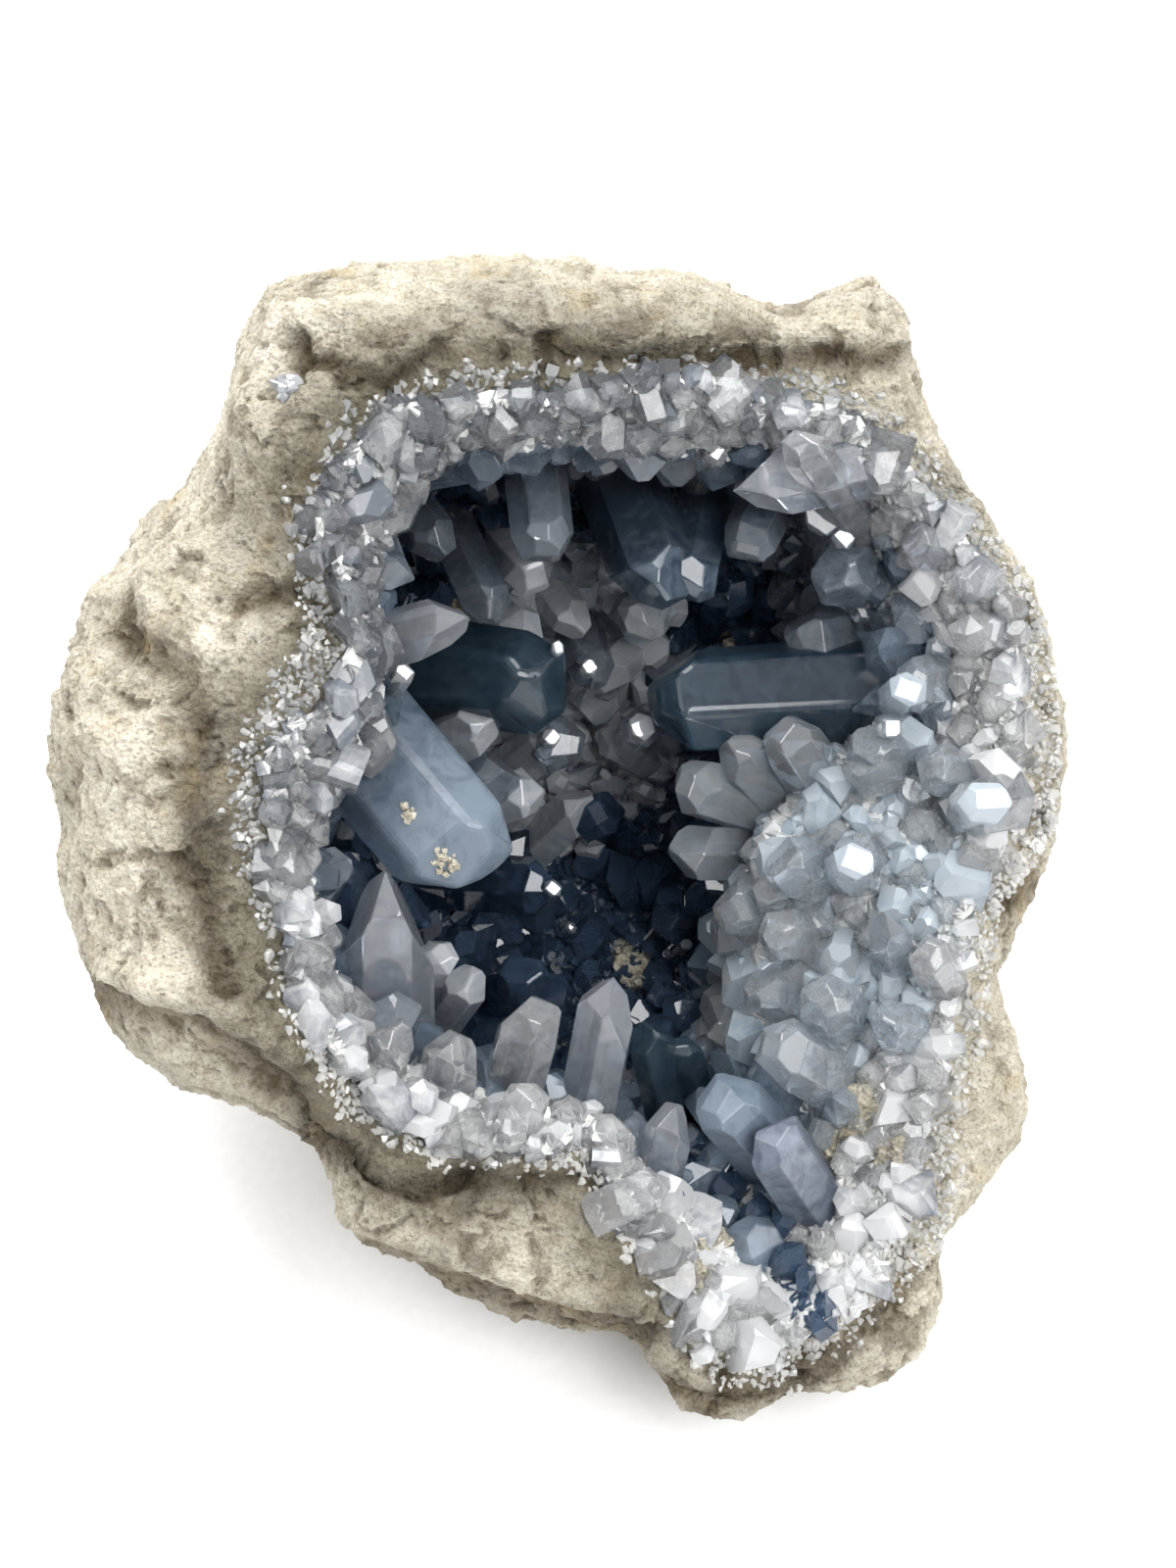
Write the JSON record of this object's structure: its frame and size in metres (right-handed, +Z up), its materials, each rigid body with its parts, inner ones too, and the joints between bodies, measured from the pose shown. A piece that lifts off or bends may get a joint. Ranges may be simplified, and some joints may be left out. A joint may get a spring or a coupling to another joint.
{
  "type": "celestite geode",
  "caption": "Limestone nodule broken open over a deep hollow lined with pale blue celestite crystals, resting on a small flat spot.",
  "frame": {"origin": "on the resting surface, under the middle of the geode's bounding box", "axes": "+Z up from the resting surface, +X to the right of the hollow's mouth as seen, -Y towards the viewer; the mouth faces forward and 50 degrees up"},
  "size_m": [0.1796, 0.1869, 0.16],
  "materials": {
    "limestone": "rough, sandy, broken face",
    "celestite": "clear to milky crystal with bright flat faces"
  },
  "bodies": {
    "root": {"limestone_shell": "limestone", "celestite_crust": "celestite"}
  },
  "joints": []
}
